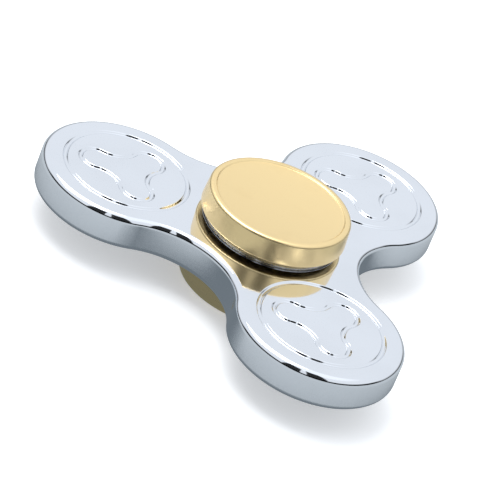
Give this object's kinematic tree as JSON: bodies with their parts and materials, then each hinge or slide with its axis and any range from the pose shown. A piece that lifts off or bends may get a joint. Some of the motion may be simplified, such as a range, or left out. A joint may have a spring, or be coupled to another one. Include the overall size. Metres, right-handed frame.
{
  "type": "fidget spinner",
  "caption": "Hand spinner: a mirror-plated body with ring-engraved round lobes turns on a shielded ball bearing between two dished brass finger caps.",
  "frame": {"origin": "on the spin axis, half-way through the body's thickness", "axes": "+Z along the spin axis, out of the top cap; the lobes point to 60, 180 and 300 degrees from +X, so +X runs down the middle of a bay"},
  "size_m": [0.0632, 0.0688, 0.016],
  "materials": {
    "plated_body": "mirror-polished plating over a casting",
    "cap_brass": "satin, turned",
    "race_steel": "ground and hardened",
    "ball_steel": "lapped",
    "cage_steel": "pressed strip",
    "rivet_steel": "upset",
    "shield_steel": "pressed strip, darkened",
    "clip_steel": "spring wire",
    "screw_steel": "blackened"
  },
  "bodies": {
    "hub": {"top_cap": "cap_brass", "bottom_cap": "cap_brass", "cap_screw": "screw_steel", "bearing_inner_race": "race_steel"},
    "rotor": {"body": "plated_body", "bearing_outer_race": "race_steel", "shield_upper": "shield_steel", "shield_lower": "shield_steel", "clip_upper": "clip_steel", "clip_lower": "clip_steel"},
    "cage": {"cage_upper": "cage_steel", "cage_lower": "cage_steel", "cage_rivets": "rivet_steel"},
    "ball_1": {"ball_1": "ball_steel"},
    "ball_2": {"ball_2": "ball_steel"},
    "ball_3": {"ball_3": "ball_steel"},
    "ball_4": {"ball_4": "ball_steel"},
    "ball_5": {"ball_5": "ball_steel"},
    "ball_6": {"ball_6": "ball_steel"},
    "ball_7": {"ball_7": "ball_steel"}
  },
  "joints": [
    {"name": "spin", "type": "hinge", "parent": "hub", "child": "rotor", "pos_m": [0, 0, 0], "axis": [0, 0, 1], "continuous": true},
    {"name": "cage_orbit", "type": "hinge", "parent": "hub", "child": "cage", "pos_m": [0, 0, 0], "axis": [0, 0, 1], "continuous": true},
    {"name": "ball_1_roll", "type": "hinge", "parent": "cage", "child": "ball_1", "pos_m": [0.0075, 0, 0], "axis": [0, 0, 1], "continuous": true},
    {"name": "ball_2_roll", "type": "hinge", "parent": "cage", "child": "ball_2", "pos_m": [0.00468, 0.00586, 0], "axis": [0, 0, 1], "continuous": true},
    {"name": "ball_3_roll", "type": "hinge", "parent": "cage", "child": "ball_3", "pos_m": [-0.00167, 0.00731, 0], "axis": [0, 0, 1], "continuous": true},
    {"name": "ball_4_roll", "type": "hinge", "parent": "cage", "child": "ball_4", "pos_m": [-0.00676, 0.00325, 0], "axis": [0, 0, 1], "continuous": true},
    {"name": "ball_5_roll", "type": "hinge", "parent": "cage", "child": "ball_5", "pos_m": [-0.00676, -0.00325, 0], "axis": [0, 0, 1], "continuous": true},
    {"name": "ball_6_roll", "type": "hinge", "parent": "cage", "child": "ball_6", "pos_m": [-0.00167, -0.00731, 0], "axis": [0, 0, 1], "continuous": true},
    {"name": "ball_7_roll", "type": "hinge", "parent": "cage", "child": "ball_7", "pos_m": [0.00468, -0.00586, 0], "axis": [0, 0, 1], "continuous": true}
  ],
  "couplings": [
    {"joint": "cage_orbit", "follows": "spin", "ratio": 0.6323},
    {"joint": "ball_1_roll", "follows": "spin", "ratio": 1.7573},
    {"joint": "ball_2_roll", "follows": "spin", "ratio": 1.7573},
    {"joint": "ball_3_roll", "follows": "spin", "ratio": 1.7573},
    {"joint": "ball_4_roll", "follows": "spin", "ratio": 1.7573},
    {"joint": "ball_5_roll", "follows": "spin", "ratio": 1.7573},
    {"joint": "ball_6_roll", "follows": "spin", "ratio": 1.7573},
    {"joint": "ball_7_roll", "follows": "spin", "ratio": 1.7573}
  ]
}
